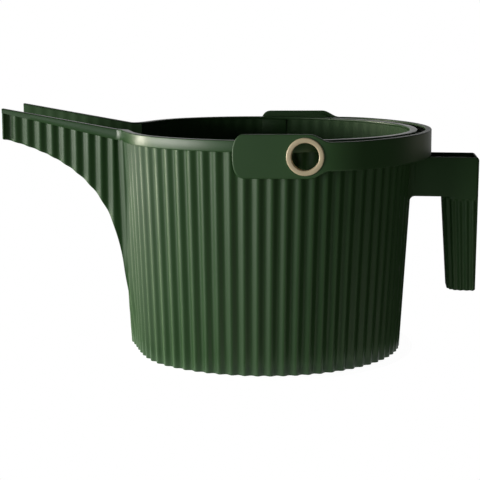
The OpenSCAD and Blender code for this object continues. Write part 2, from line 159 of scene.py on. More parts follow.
# Bail
PLATE_T = 4.6 * MM
PLATE_IN = PLATE_OUT - PLATE_T
PLATE_H = 39 * MM
PLATE_NOSE = 15.8 * MM
PLATE_ROUND = 12 * MM
NOSE_SQUARENESS = 2.6
PLATE_FLAT = 62 * MM
PLATE_FULL = 52 * MM
PLATE_TAPER = 18.5 * MM
STRAP_H = 25.4 * MM
STRAP_T = 6 * MM
STRAP_OUT = 163.8 * MM
BEND_R = 56.5 * MM
BEND_STEPS, REAR_STEPS = 24, 96
PLATE_STEPS = 2
BAIL_EDGE_R = 0.9 * MM
BAIL_MARGIN = 2 * BAIL_EDGE_R
EYELET_X = math.hypot(EYELET.x - PIVOT.x, EYELET.z - PIVOT.z)
BAIL_TILT = math.atan2(EYELET.z - PIVOT.z, EYELET.x - PIVOT.x)
HOLE_R = 12.15 * MM
SLEEVE_T = 1.8 * MM
SLEEVE_R = HOLE_R + SLEEVE_T
RING_EDGE_R = 1 * MM
WASHER_LIP = 0.4 * MM
STUD_R = (STUD_HIGH.x - STUD_LOW.x) / 2
SOCKET_FIT = 0.05 * MM
SOCKET_DEPTH = 3.3 * MM
TENON_R = 2.5 * MM
PAD_PROUD = 0.5 * MM

# Gap by which one piece is sunk into or set off another, so that no two faces coincide
HAIR = 0.15 * MM

# Vertices nearer than this are one vertex
MERGE = HAIR / 100


def crest_r(z):
    """Radius of the flute crests at height z."""
    return BASE_R + (CREST_TOP_R - BASE_R) * z / RIM_BOTTOM


def flute_cut(angle):
    """Depth of the flutes below their crests in one direction from the axis."""
    return FLUTE_DEPTH * (1 + math.cos(FLUTES * angle)) / 2


def step(t):
    """A smooth step from 0 to 1."""
    t = min(max(t, 0), 1)
    return t * t * (3 - 2 * t)


def eased(angle, z):
    """How far the wall and rim are drawn in beside the spout, and less so on the keel below the spout."""
    turn = abs(math.pi - angle % (2 * math.pi))
    sides = 1 - step((turn - EASED_FULL) / (EASED_END - EASED_FULL))
    up = min(z / KEEL_Z, 1)
    keel = 1 - step((turn - KEEL_FULL - KEEL_SPREAD * up) / (KEEL_END - KEEL_FULL))
    height = KEEL * step((KEEL_TOP - z) / (KEEL_TOP - KEEL_FADES))
    return EASED * sides - height * keel


def ease(t):
    """A ramp that is 0 below 0, rises smoothly and keeps the slope 1 above 1."""
    if t <= 0:
        return 0
    return t * t / 2 if t < 1 else t - 0.5


SPOUT_JOINT = -math.sqrt((RIM_R - RIM_W / 2) ** 2 - SPOUT_HALF**2)


def spout_share(x):
    """0 where the spout's edges leave the rim, 1 at the tip."""
    return EDGE_EASE * ease((SPOUT_JOINT + EDGE_EASE / 2 - x) / EDGE_EASE) / (SPOUT_JOINT - TIP_X)


def edge_z(x):
    """Height of the spout's top edge at x, level with the rim behind the joint."""
    return RIM_TOP + (TIP_TOP - RIM_TOP) * spout_share(x)


def band_h(x):
    """Height of the plain band at x: full on the rim, narrower towards the tip."""
    return RIM_H + (TIP_BAND_H - RIM_H) * spout_share(x)


def rib_y(x, z):
    """Half the spout's width over its ribs: the last one leans with the wall and stays full up to it."""
    lean = LAST_RIB_LEAN * max(RIM_BOTTOM - z, 0) - LAST_RIB_SOONER
    x -= lean * step((x - LAST_RIB_START) / (LAST_RIB_FULL - LAST_RIB_START))
    turn = 2 * math.pi * (min(x, LAST_RIB_CREST) - TIP_X - RIB_LEAD) / RIB_PITCH
    return RIB_CREST - RIB_DEPTH * (1 - math.cos(turn)) / 2


FLOOR_TIP = Vector((TIP_X, TIP_BOTTOM))
FLOOR_CURVE = (
    NECK_FOOT,
    NECK_FOOT + NECK_LEAD * Vector((-NECK_LEAN, 1)),
    FLOOR_TIP + FLOOR_LEAD * Vector((math.cos(FLOOR_SLOPE), -math.sin(FLOOR_SLOPE))),
    FLOOR_TIP,
)


def floor_point(t):
    """Side view of the spout's floor: t is 1 at the tip, 0 at the neck's foot and less inside the wall."""
    if t < 0:
        drop = -t * NECK_TAIL
        return NECK_FOOT + Vector((NECK_LEAN * drop + TAIL_DEPTH * t * t, -drop))
    a, b, c, d = FLOOR_CURVE
    s = 1 - t
    return s**3 * a + 3 * s * s * t * b + 3 * s * t * t * c + t**3 * d


def wall_x(y, z, depth):
    """X of the place on the spout's side of the bucket that lies a depth below the crests."""
    crest = crest_r(z)
    r = crest - eased(math.pi + math.asin(y / crest), z) - depth
    return -math.sqrt(r * r - y * y)


@functools.lru_cache(maxsize=None)
def side_top(x):
    """Height at which the spout's side ends: under the band, or inside the bucket's wall."""
    depth = FLUTE_DEPTH + WALL / 2
    if x < wall_x(RIB_CREST, RIM_BOTTOM, depth):
        return edge_z(x) - FLANGE_T / 2
    z = RIM_BOTTOM
    while z > 0 and wall_x(RIB_CREST, z, depth) <= x:
        z -= MM
    return z + MM


def arc(cx, cz, r, start, end, steps=3):
    """Points of an arc in a side view, with angles in degrees."""
    turns = [math.radians(start + (end - start) * i / steps) for i in range(steps + 1)]
    return [(cx + r * math.cos(a), cz + r * math.sin(a)) for a in turns]


# Materials

GREENS = (0.034, 0.092, 0.028), (0.042, 0.112, 0.034)
CHAMPAGNES = (0.82, 0.68, 0.45), (0.90, 0.75, 0.50)
GRAIN_DETAIL = 3
MOTTLE_SCALE, MOTTLE_DETAIL = 18, 4
MOTTLE_MIDDLE = 0.5
ROUGHNESS_CHANGE = 0.25
INNER_MATT = 0.25
BUMP_STRENGTH = 0.5


def moulded_grain_group():
    """Fine grain of a moulded surface over Object coordinates: bump height, roughness and slow mottle."""
    group = bpy.data.node_groups.new("moulded_grain", "ShaderNodeTree")
    for name in ("Grain Size", "Roughness", "Roughness Change"):
        group.interface.new_socket(name=name, in_out="INPUT", socket_type="NodeSocketFloat")
    for name in ("Height", "Roughness", "Mottle"):
        group.interface.new_socket(name=name, in_out="OUTPUT", socket_type="NodeSocketFloat")
    nodes, links = group.nodes, group.links
    entry = nodes.new("NodeGroupInput")
    leave = nodes.new("NodeGroupOutput")
    place = nodes.new("ShaderNodeTexCoord")

    scale = nodes.new("ShaderNodeMath")
    scale.operation = "DIVIDE"
    scale.inputs[0].default_value = 1
    links.new(entry.outputs["Grain Size"], scale.inputs[1])

    grain = nodes.new("ShaderNodeTexNoise")
    grain.inputs["Detail"].default_value = GRAIN_DETAIL
    links.new(place.outputs["Object"], grain.inputs["Vector"])
    links.new(scale.outputs[0], grain.inputs["Scale"])
    links.new(grain.outputs["Fac"], leave.inputs["Height"])

    mottle = nodes.new("ShaderNodeTexNoise")
    mottle.inputs["Scale"].default_value = MOTTLE_SCALE
    mottle.inputs["Detail"].default_value = MOTTLE_DETAIL
    links.new(place.outputs["Object"], mottle.inputs["Vector"])
    links.new(mottle.outputs["Fac"], leave.inputs["Mottle"])

    spread = nodes.new("ShaderNodeMath")
    spread.operation = "SUBTRACT"
    spread.inputs[1].default_value = MOTTLE_MIDDLE
    links.new(mottle.outputs["Fac"], spread.inputs[0])
    rough = nodes.new("ShaderNodeMath")
    rough.operation = "MULTIPLY_ADD"
    links.new(spread.outputs[0], rough.inputs[0])
    links.new(entry.outputs["Roughness Change"], rough.inputs[1])
    links.new(entry.outputs["Roughness"], rough.inputs[2])
    links.new(rough.outputs[0], leave.inputs["Roughness"])
    return group


MOULDED_GRAIN = moulded_grain_group()


def moulded(name, shades, roughness, sheen, grain_size, grain_depth, metallic=0):
    """Material that drifts between two shades, with a fine grain and a duller finish on inner sides."""
    material = bpy.data.materials.new(name)
    material.use_nodes = True
    nodes, links = material.node_tree.nodes, material.node_tree.links
    shader = nodes["Principled BSDF"]
    shader.inputs["Specular IOR Level"].default_value = sheen
    shader.inputs["Metallic"].default_value = metallic

    effect = nodes.new("ShaderNodeGroup")
    effect.node_tree = MOULDED_GRAIN
    effect.inputs["Grain Size"].default_value = grain_size
    effect.inputs["Roughness"].default_value = roughness
    effect.inputs["Roughness Change"].default_value = ROUGHNESS_CHANGE

    dark, light = shades
    shade = nodes.new("ShaderNodeMix")
    shade.data_type = "RGBA"
    shade.inputs["A"].default_value = (*dark, 1)
    shade.inputs["B"].default_value = (*light, 1)
    links.new(effect.outputs["Mottle"], shade.inputs["Factor"])
    links.new(shade.outputs["Result"], shader.inputs["Base Color"])

    inside = nodes.new("ShaderNodeAttribute")
    inside.attribute_name = "inside"
    matt = nodes.new("ShaderNodeMath")
    matt.operation = "MULTIPLY_ADD"
    matt.inputs[1].default_value = INNER_MATT
    links.new(inside.outputs["Fac"], matt.inputs[0])
    links.new(effect.outputs["Roughness"], matt.inputs[2])
    links.new(matt.outputs[0], shader.inputs["Roughness"])

    bump = nodes.new("ShaderNodeBump")
    bump.inputs["Strength"].default_value = BUMP_STRENGTH
    bump.inputs["Distance"].default_value = grain_depth
    links.new(effect.outputs["Height"], bump.inputs["Height"])
    links.new(bump.outputs["Normal"], shader.inputs["Normal"])
    return material


GREEN = moulded("green_plastic", GREENS, roughness=0.45, sheen=0.42,
                grain_size=0.5 * MM, grain_depth=0.03 * MM)
RIM_GREEN = moulded("green_plastic_rim", GREENS, roughness=0.35, sheen=0.62,
                    grain_size=0.5 * MM, grain_depth=0.03 * MM)
BAIL_GREEN = moulded("bail_plastic", GREENS, roughness=0.45, sheen=0.5,
                     grain_size=0.4 * MM, grain_depth=0.025 * MM)
CHAMPAGNE = moulded("satin_champagne", CHAMPAGNES, roughness=0.34, sheen=0.6,
                    grain_size=0.4 * MM, grain_depth=0.02 * MM, metallic=0.1)


# Tools for the pieces

SMOOTH_BELOW = math.radians(35)
SHARP_ABOVE = math.radians(50)
EDGE_STEPS = 3
TURN_STEPS = 128
RING_STEPS = 96

# Share of a face's normal along Z above which the face counts as level
LEVEL = 0.9


def piece(name, bm, material, body, nodes):
    """Turns a bmesh into a finished piece that rides on a body and stands for CAD nodes."""
    bmesh.ops.remove_doubles(bm, verts=bm.verts, dist=MERGE)
    bmesh.ops.recalc_face_normals(bm, faces=bm.faces)
    for face in bm.faces:
        face.smooth = True
    mesh = bpy.data.meshes.new(name)
    bm.to_mesh(mesh)
    bm.free()
    mesh.set_sharp_from_angle(angle=SMOOTH_BELOW)
    obj = bpy.data.objects.new(name, mesh)
    bpy.context.scene.collection.objects.link(obj)
    obj.data.materials.append(material)
    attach(obj, body)
    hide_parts(*nodes)
    return obj


def round_piece(obj, radius):
    """Rounds the sharp edges of a finished piece and keeps its flat faces flat."""
    bevel = obj.modifiers.new("rounded_edges", "BEVEL")
    bevel.width = radius
    bevel.segments = EDGE_STEPS
    bevel.limit_method = "ANGLE"
    bevel.angle_limit = SHARP_ABOVE
    bevel.use_clamp_overlap = False
    flat = obj.modifiers.new("flat_faces", "WEIGHTED_NORMAL")
    flat.keep_sharp = False


def round_off(bm, geom, radius, affect="EDGES", segments=EDGE_STEPS):
    """Rounds edges, or corners of a flat outline, while a piece is being made."""
    bmesh.ops.bevel(bm, geom=geom, offset=radius, offset_type="OFFSET", segments=segments, profile=0.5,
                    affect=affect, material=-1, clamp_overlap=False)


def new_verts(made):
    """The vertices among the parts that an operator made."""
    return [g for g in made["geom"] if isinstance(g, bmesh.types.BMVert)]


def new_edges(made):
    """The edges among the parts that an operator made."""
    return [g for g in made["geom"] if isinstance(g, bmesh.types.BMEdge)]


def chain(bm, points):
    """A run of edges through side-view points (x, z), in the plane y = 0."""
    verts = [bm.verts.new((x, 0, z)) for x, z in points]
    edges = [bm.edges.new(pair) for pair in zip(verts, verts[1:])]
    return verts + edges


def turned(bm, points, steps):
    """Spins a run of side-view points once round the bucket's axis."""
    bmesh.ops.spin(bm, geom=chain(bm, points), cent=(0, 0, 0), axis=(0, 0, 1), angle=2 * math.pi,
                   steps=steps, use_merge=True)
    bmesh.ops.remove_doubles(bm, verts=bm.verts, dist=MERGE)


def bucket_shell():
    """Fluted wall and flat base in one shell, with a mouth cut out where the spout opens."""
    outer = arc(crest_r(0) - BASE_EDGE_R, BASE_EDGE_R, BASE_EDGE_R, -90, 0)
    below = [BASE_T + (MOUTH_Z - BASE_T) * i / WALL_ROWS for i in range(WALL_ROWS)]
    above = [MOUTH_Z + (WALL_TOP - MOUTH_Z) * i / WALL_ROWS for i in range(WALL_ROWS + 1)]
    outer += [(crest_r(z), z) for z in below[1:] + above]
    inner = [(crest_r(z) - WALL, z) for z in reversed(below + above)]
    bm = bmesh.new()
    inside = bm.verts.layers.float.new("inside")
    turned(bm, [(0, 0)] + outer + inner + [(0, BASE_T)], FLUTES * FLUTE_STEPS)
    for v in bm.verts:
        r = math.hypot(v.co.x, v.co.y)
        if r < BASE_R / 2:
            continue
        angle = math.atan2(v.co.y, v.co.x)
        cut = flute_cut(angle)
        if crest_r(v.co.z) - r > WALL / 2:
            cut = FLUTE_DEPTH + (cut - FLUTE_DEPTH) * INNER_FLUTES
            v[inside] = 1
        r -= cut + eased(angle, v.co.z)
        v.co.x = r * math.cos(angle)
        v.co.y = r * math.sin(angle)

    def in_mouth(face):
        return all(v.co.x < 0 and abs(v.co.y) < MOUTH_HALF and v.co.z > MOUTH_Z - HAIR for v in face.verts)

    bmesh.ops.delete(bm, geom=[f for f in bm.faces if in_mouth(f)], context="FACES")
    rims = [e for e in bm.edges if e.is_boundary]
    sills = [e for e in rims if all(v.co.z < MOUTH_Z + HAIR for v in e.verts)]
    bmesh.ops.bridge_loops(bm, edges=sills)
    bmesh.ops.holes_fill(bm, edges=[e for e in bm.edges if e.is_boundary], sides=0)
    piece("bucket_shell", bm, GREEN, "bucket", ("bucket_wall", "bucket_floor"))


def swept(bm, face, **turn):
    """Spins or slides a face onward in steps and gives the face at the far end."""
    made = bmesh.ops.spin(bm, geom=[face, *face.edges, *face.verts], **turn)
    return next(g for g in made["geom_last"] if isinstance(g, bmesh.types.BMFace))


def rim():
    """Rim and both spout bands as one band: a flange on top and a plain skirt outside."""
    bm = bmesh.new()
    corners = [(0, 0), (0, -RIM_H), (-SKIRT_T, -RIM_H), (-SKIRT_T, -FLANGE_T), (-RIM_W, -FLANGE_T)]
    corners += [(-RIM_W, 0)]
    section = bm.faces.new([bm.verts.new((TIP_X, SPOUT_HALF + out, RIM_TOP + up)) for out, up in corners])
    round_off(bm, section.verts[:], RIM_EDGE_R, "VERTICES")
    face = bm.faces[:][0]
    centre_x = -math.sqrt((RIM_R - EASED + CORNER_R) ** 2 - (SPOUT_HALF + CORNER_R) ** 2)
    centre_y = SPOUT_HALF + CORNER_R
    corner_turn = math.pi / 2 - math.atan2(centre_y, -centre_x)
    round_turn = 2 * math.pi - 2 * math.atan2(centre_y, -centre_x)
    up = (0, 0, 1)
    stride = (centre_x - TIP_X) / STRAIGHT_STEPS
    face = swept(bm, face, dvec=(stride, 0, 0), angle=0, steps=STRAIGHT_STEPS, axis=up)
    face = swept(bm, face, cent=(centre_x, centre_y, 0), axis=up, angle=corner_turn, steps=1)
    face = swept(bm, face, cent=(0, 0, 0), axis=up, angle=-round_turn, steps=ROUND_STEPS)
    face = swept(bm, face, cent=(centre_x, -centre_y, 0), axis=up, angle=corner_turn, steps=1)
    swept(bm, face, dvec=(-stride, 0, 0), angle=0, steps=STRAIGHT_STEPS, axis=up)
    for v in bm.verts:
        x = v.co.x if abs(v.co.y) < centre_y else 0
        below = RIM_TOP - v.co.z
        if below > FLANGE_T + HAIR:
            below = FLANGE_T + (below - FLANGE_T) * (band_h(x) - FLANGE_T) / (RIM_H - FLANGE_T)
        v.co.z = edge_z(x) - below
        if abs(v.co.y) > centre_y or v.co.x > 0:
            angle = math.atan2(v.co.y, v.co.x)
            r = math.hypot(v.co.x, v.co.y) + EASED - eased(angle, RIM_TOP)
            v.co.x, v.co.y = r * math.cos(angle), r * math.sin(angle)
    nodes = ("rim_band", "spout_rim_near", "spout_rim_far")
    piece("rim", bm, RIM_GREEN, "bucket", nodes)


def trough_point(t, row, side, inside):
    """A point of the trough: t runs along its floor, row from the top of a side to the floor's middle."""
    x, floor_z = floor_point(t)
    if inside:
        nudge = 0.001
        along = (floor_point(t + nudge) - floor_point(t - nudge)).normalized()
        x, floor_z = x + WALL * along.y, floor_z - WALL * along.x
    z = floor_z
    if row <= SIDE_ROWS:
        top = side_top(x)
        z = top + (floor_z + SPOUT_EDGE_R - top) * row / SIDE_ROWS
    if inside:
        half = RIB_LOW - WALL + INNER_RIBS * (rib_y(x, z) - RIB_LOW)
    else:
        half = rib_y(x, z) if x > TIP_X + LIP_W else SPOUT_HALF - HAIR
    if t >= 1:
        x = TIP_X
    half -= NECK_NARROWED * step((NECK_NARROWS - z) / (NECK_NARROWS - NECK_FOOT.y + NECK_TAIL))
    y = half
    if row > SIDE_ROWS + CORNER_ROWS:
        y = (half - SPOUT_EDGE_R) * (HALF_ROWS - row) / FLOOR_ROWS
    elif row > SIDE_ROWS:
        turn = math.pi / 2 * (row - SIDE_ROWS) / CORNER_ROWS
        y = half - SPOUT_EDGE_R * (1 - math.cos(turn))
        z += SPOUT_EDGE_R * (1 - math.sin(turn))
    if row > SIDE_ROWS and z < MOUTH_Z:
        x = min(x, wall_x(y, z, FLUTE_DEPTH - 2 * HAIR + (WALL - 2 * HAIR if inside else 0)))
    return x, side * y, z


def spout_trough():
    """Trough with ribbed sides whose floor sweeps down into the wall."""
    rows = TROUGH_STEPS + TAIL_STEPS
    bm = bmesh.new()
    where = bm.verts.layers.float_vector.new("where")
    inside = bm.verts.layers.float.new("inside")
    bmesh.ops.create_grid(bm, x_segments=2 * HALF_ROWS, y_segments=rows, size=1)
    for v in bm.verts:
        across = round((v.co.x + 1) * HALF_ROWS)
        down = round((v.co.y + 1) / 2 * rows)
        t = 1 - down / TROUGH_STEPS if down < TROUGH_STEPS else (TROUGH_STEPS - down) / TAIL_STEPS
        v[where] = (t, min(across, 2 * HALF_ROWS - across), NEAR if across < HALF_ROWS else FAR)
        v.co = trough_point(t, round(v[where].y), v[where].z, False)
    made = bmesh.ops.extrude_face_region(bm, geom=bm.faces[:], use_keep_orig=True)
    for v in new_verts(made):
        v.co = trough_point(v[where].x, round(v[where].y), v[where].z, True)
        v[inside] = 1
    bmesh.ops.recalc_face_normals(bm, faces=bm.faces)
    tip = [e for e in bm.edges if all(v.co.x < TIP_X + HAIR for v in e.verts)
           and e.calc_face_angle(0) > SHARP_ABOVE]
    round_off(bm, tip, TIP_EDGE_R, segments=2)
    piece("spout_trough", bm, GREEN, "bucket", ("spout",))


def cut_across(bm, normal, places):
    """Splits a mesh along parallel planes."""
    for place in places:
        geom = bm.verts[:] + bm.edges[:] + bm.faces[:]
        bmesh.ops.bisect_plane(bm, geom=geom, dist=MERGE, plane_co=Vector(normal) * place, plane_no=normal)


def in_wall(y, z, depth):
    """X of the place that lies a depth below the wall's fluted outside, at the rear of the bucket."""
    r = crest_r(z) - flute_cut(math.asin(y / crest_r(z))) - depth
    return math.sqrt(r * r - y * y)


def rear_arm():
    """Open channel from the bucket's wall to the grip, with a hole down into the grip."""
    wall_at = crest_r(ARM_BOTTOM - ARM_FILLET) - MM
    front = wall_at - 2 * ARM_FILLET
    fillet_end = wall_at + ARM_FILLET
    round_start = ARM_BACK - ARM_CORNER_R
    channel_front = wall_at - ARM_FILLET
    channel_back = ARM_BACK - WALL
    channel_half = ARM_HALF - WALL
    hole_front = ARM_BACK - GRIP_TOP_D + GRIP_INSET
    hole_back = ARM_BACK - GRIP_INSET
    hole_half = ARM_HALF - GRIP_INSET
    front_sinks, channel_sinks = 0.7 * WALL, 0.3 * WALL
    columns, back_steps = 12, 6
    faces_up = 0.2

    bm = bmesh.new()
    corners = [(front, -ARM_HALF), (ARM_BACK, -ARM_HALF), (ARM_BACK, ARM_HALF), (front, ARM_HALF)]
    plan = bm.faces.new([bm.verts.new((x, y, ARM_BOTTOM)) for x, y in corners])
    round_off(bm, [v for v in plan.verts if v.co.x > fillet_end], HANDLE_BACK_R, "VERTICES", back_steps)
    made = bmesh.ops.extrude_face_region(bm, geom=bm.faces[:])
    bmesh.ops.translate(bm, verts=new_verts(made), vec=(0, 0, ARM_TOP - ARM_BOTTOM))
    bmesh.ops.recalc_face_normals(bm, faces=bm.faces)
    quarter = [math.radians(15 * i) for i in range(7)]
    cut_across(bm, (1, 0, 0), [wall_at + ARM_FILLET * (1 - math.cos(a)) for a in quarter])
    cut_across(bm, (1, 0, 0), [round_start + ARM_CORNER_R * math.sin(a) for a in quarter[2:6]])
    cut_across(bm, (1, 0, 0), [channel_front, hole_front, hole_back, round_start, channel_back])
    cut_across(bm, (0, 1, 0), [hole_half * i / columns for i in range(-columns, columns + 1)])
    cut_across(bm, (0, 1, 0), [-channel_half, channel_half])
    for v in bm.verts:
        x = v.co.x
        if v.co.z > (ARM_TOP + ARM_BOTTOM) / 2:
            if x > round_start:
                v.co.z -= ARM_CORNER_R - math.sqrt(max(ARM_CORNER_R**2 - (x - round_start) ** 2, 0))
        elif x < wall_at:
            v.co.z -= ARM_FILLET + (wall_at - x) / 2
        elif x < fillet_end:
            v.co.z -= ARM_FILLET - math.sqrt(max(ARM_FILLET**2 - (fillet_end - x) ** 2, 0))

    def within(face, x0, x1, half):
        return all(x0 - HAIR < v.co.x < x1 + HAIR and abs(v.co.y) < half + HAIR for v in face.verts)

    bm.normal_update()
    top = [f for f in bm.faces
           if f.normal.z > faces_up and within(f, channel_front, channel_back, channel_half)]
    made = bmesh.ops.extrude_face_region(bm, geom=top)
    for v in new_verts(made):
        v.co.z = ARM_BOTTOM + WALL
    bmesh.ops.delete(bm, geom=[f for f in top if f.is_valid], context="FACES")
    bm.normal_update()
    holes = [f for f in bm.faces if abs(f.normal.z) > LEVEL and within(f, hole_front, hole_back, hole_half)]
    bmesh.ops.delete(bm, geom=holes, context="FACES")
    bmesh.ops.bridge_loops(bm, edges=[e for e in bm.edges if e.is_boundary])
    for v in bm.verts:
        if v.co.x < front + HAIR:
            v.co.x = in_wall(v.co.y, v.co.z, front_sinks)
        elif v.co.x < channel_front + HAIR:
            v.co.x = in_wall(v.co.y, v.co.z, channel_sinks)
    bmesh.ops.recalc_face_normals(bm, faces=bm.faces)
    lips = [e for e in bm.edges
            if len(e.link_faces) == 2 and e.calc_face_angle() > SHARP_ABOVE
            and all(v.co.z > ARM_TOP - ARM_CORNER_R - HAIR and v.co.x > fillet_end - HAIR for v in e.verts)]
    round_off(bm, lips, ARM_EDGE_R)
    piece("rear_arm_channel", bm, GREEN, "bucket", ("rear_arm",))


def grip_point(share, depth, inset):
    """A point of the grip's outline and the way it faces; share runs round from the middle of the back."""
    half, back, front = ARM_HALF - inset, ARM_BACK - inset, ARM_BACK - depth + inset
    back_r, front_r = (max(r - inset, MM / 2) for r in (HANDLE_BACK_R, GRIP_FRONT_R))
    side = FAR if share < 0.5 else NEAR
    lengths = [half - back_r, back_r * math.pi / 2, back - back_r - front - front_r, front_r * math.pi / 2,
               half - front_r]
    run = 2 * min(share, 1 - share) * sum(lengths)
    part = 0
    while part < 4 and run > lengths[part]:
        run -= lengths[part]
        part += 1
    if part == 0:
        x, y, faces = back, run, 0
    elif part == 1:
        faces = run / back_r
        x, y = back - back_r * (1 - math.cos(faces)), half - back_r * (1 - math.sin(faces))
    elif part == 2:
        x, y, faces = back - back_r - run, half, math.pi / 2
    elif part == 3:
        faces = math.pi / 2 + run / front_r
        x, y = front + front_r * (1 + math.cos(faces)), half - front_r * (1 - math.sin(faces))
    else:
        x, y, faces = front, half - front_r - run, math.pi
    return Vector((x, side * y)), Vector((math.cos(faces), side * math.sin(faces)))


def rear_grip():
    """Hollow grip with flutes that run out in round ends below the arm."""
    edge = [(GRIP_BOTTOM + z, BASE_EDGE_R - r) for r, z in arc(0, BASE_EDGE_R, BASE_EDGE_R, -90, 0)]
    fade_rows = 10
    fade_start = ARM_BOTTOM - GRIP_PLAIN - GRIP_FADE
    fade = [(fade_start + (ARM_BOTTOM - fade_start) * i / fade_rows, 0) for i in range(fade_rows + 1)]
    sunk = ARM_BOTTOM + WALL / 2
    levels = edge + fade + [(ARM_BOTTOM, HAIR), (sunk, HAIR), (sunk, GRIP_INSET - HAIR)]
    levels += [(GRIP_BOTTOM + WALL, GRIP_INSET)]
    bm = bmesh.new()
    ring = bmesh.ops.create_circle(bm, cap_ends=True, segments=GRIP_FLUTES * FLUTE_STEPS, radius=1)["verts"]
    edges = list({e for v in ring for e in v.link_edges})
    for level in range(1, len(levels)):
        made = bmesh.ops.extrude_edge_only(bm, edges=edges)
        edges = new_edges(made)
        bmesh.ops.translate(bm, verts=new_verts(made), vec=(0, 0, 1))
    bmesh.ops.holes_fill(bm, edges=edges, sides=0)
    for v in bm.verts:
        z, inset = levels[round(v.co.z)]
        share = math.atan2(v.co.y, v.co.x) / (2 * math.pi) % 1
        depth = GRIP_BOTTOM_D + (GRIP_TOP_D - GRIP_BOTTOM_D) * (z - GRIP_BOTTOM) / (ARM_BOTTOM - GRIP_BOTTOM)
        at, faces = grip_point(share, depth, inset)
        if inset < GRIP_INSET / 2:
            runs_to = ARM_BOTTOM - GRIP_PLAIN * abs(faces.y)
            left = min(max((runs_to - z) / GRIP_FADE, 0), 1)
            cut = GRIP_FLUTE_DEPTH * (1 - math.cos(2 * math.pi * GRIP_FLUTES * share)) / 2
            at -= faces * cut * math.sqrt(1 - (1 - left) ** 2)
        v.co = (at.x, at.y, z)
    piece("rear_grip_fluted", bm, GREEN, "bucket", ("rear_grip",))


def bail_point(u, half, reach, bend):
    """A point of the bail's plan: u is 0 and 3 where the plates end, 1 and 2 at the ends of the rear arc."""
    a, b = reach - PLATE_FLAT, half - bend
    r = (a * a + b * b - bend * bend) / (2 * (a - bend))
    turn = math.atan2(b, PLATE_FLAT - reach + r)
    side = NEAR if u < 1.5 else FAR
    from_plate = min(u, 3 - u)
    if from_plate < 1:
        angle = math.pi / 2 + (turn - math.pi / 2) * from_plate
        return PLATE_FLAT + bend * math.cos(angle), side * (b + bend * math.sin(angle))
    angle = turn * (2 * u - 3)
    return reach - r + r * math.cos(angle), r * math.sin(angle)


def bail_half(x):
    """Half the bail's height at x: a round nose, a plate and a narrower strap."""
    nose = PLATE_ROUND - PLATE_NOSE
    if x < nose:
        share = (nose - x) / PLATE_ROUND
        return PLATE_H / 2 * max(1 - share**NOSE_SQUARENESS, 0) ** (1 / NOSE_SQUARENESS)
    along = min(max((x - PLATE_FULL) / PLATE_TAPER, 0), 1)
    return (STRAP_H + (PLATE_H - STRAP_H) * (1 + math.cos(math.pi * along)) / 2) / 2


def plate_y(x, half, bend):
    """Distance of a plate's face from the middle plane at x, flat as far as the start of the bend."""
    return half - bend + math.sqrt(bend * bend - max(x - PLATE_FLAT, 0) ** 2)


def ring_of_edges(bm, x, r):
    """A flat ring that faces along Y: inner vertices and edges, and outer ones a margin further out."""
    place = Matrix.Translation((x, 0, 0)) @ Matrix.Rotation(math.pi / 2, 4, "X")
    inner = bmesh.ops.create_circle(bm, segments=RING_STEPS, radius=r, matrix=place)["verts"]
    inner_edges = list({e for v in inner for e in v.link_edges})
    made = bmesh.ops.extrude_edge_only(bm, edges=inner_edges)
    outer = new_verts(made)
    for v in outer:
        v.co.x = x + (v.co.x - x) * (r + BAIL_MARGIN) / r
        v.co.z *= (r + BAIL_MARGIN) / r
    outer_edges = [e for e in new_edges(made) if set(outer).issuperset(e.verts)]
    return inner, inner_edges, outer, outer_edges


def bail_plate(bm, along, inset, side):
    """Flat outside of one plate with its hole and socket ring; gives the edges where the strap starts."""
    nose, nose_steps, taper_steps = PLATE_ROUND - PLATE_NOSE, 40, 6
    end_u = PLATE_STEPS / BEND_STEPS
    end_x = bail_point(end_u, PLATE_OUT, STRAP_OUT, BEND_R)[0]
    angles = [math.pi / 2 * (1 - i / nose_steps) for i in range(nose_steps)]
    xs = [end_x + (PLATE_FULL - end_x) * i / taper_steps for i in range(taper_steps + 1)]
    xs += [nose - PLATE_ROUND * math.cos(a) ** (2 / NOSE_SQUARENESS) for a in angles]
    upper = [(x, bail_half(x)) for x in xs]
    outline = upper + [(-PLATE_NOSE, 0)] + [(x, -h) for x, h in reversed(upper)]
    verts = [bm.verts.new((x, 0, z)) for x, z in outline]
    edges = [bm.edges.new(pair) for pair in zip(verts, verts[1:])]
    made = bmesh.ops.extrude_edge_only(bm, edges=edges)
    margin = new_verts(made)
    for v in margin:
        if v.co.x < nose:
            v.co.x += (nose - v.co.x) * BAIL_MARGIN / PLATE_ROUND
            v.co.z -= v.co.z * BAIL_MARGIN / (PLATE_H / 2)
        else:
            v.co.z -= math.copysign(BAIL_MARGIN, v.co.z)
        v[inset] = BAIL_MARGIN
    ends = [v for v in margin if v.co.x > end_x - HAIR]
    last = bm.edges.new(ends)
    fill = [e for e in new_edges(made) if all(v[inset] for v in e.verts)]
    hole, _, hole_out, hole_edges = ring_of_edges(bm, EYELET_X, SLEEVE_R + HAIR)
    socket, socket_in, socket_out, socket_edges = ring_of_edges(bm, 0, STUD_R + SOCKET_FIT)
    outlines = [*fill, last, *hole_edges, *socket_edges]
    bmesh.ops.triangle_fill(bm, use_beauty=True, edges=outlines, normal=(0, side, 0))
    bmesh.ops.contextual_create(bm, geom=socket_in)
    for v in [*verts, *margin, *hole, *hole_out, *socket, *socket_out]:
        v.co.y = side * plate_y(v.co.x, PLATE_OUT, BEND_R)
        v[along] = -1
    start = [last] + [e for v in ends for e in v.link_edges
                      if any(w.co.x > end_x - HAIR and not w[inset] for w in e.verts)]
    for edge in start:
        for v in edge.verts:
            v[along] = end_u if side == NEAR else 3 - end_u
    return start


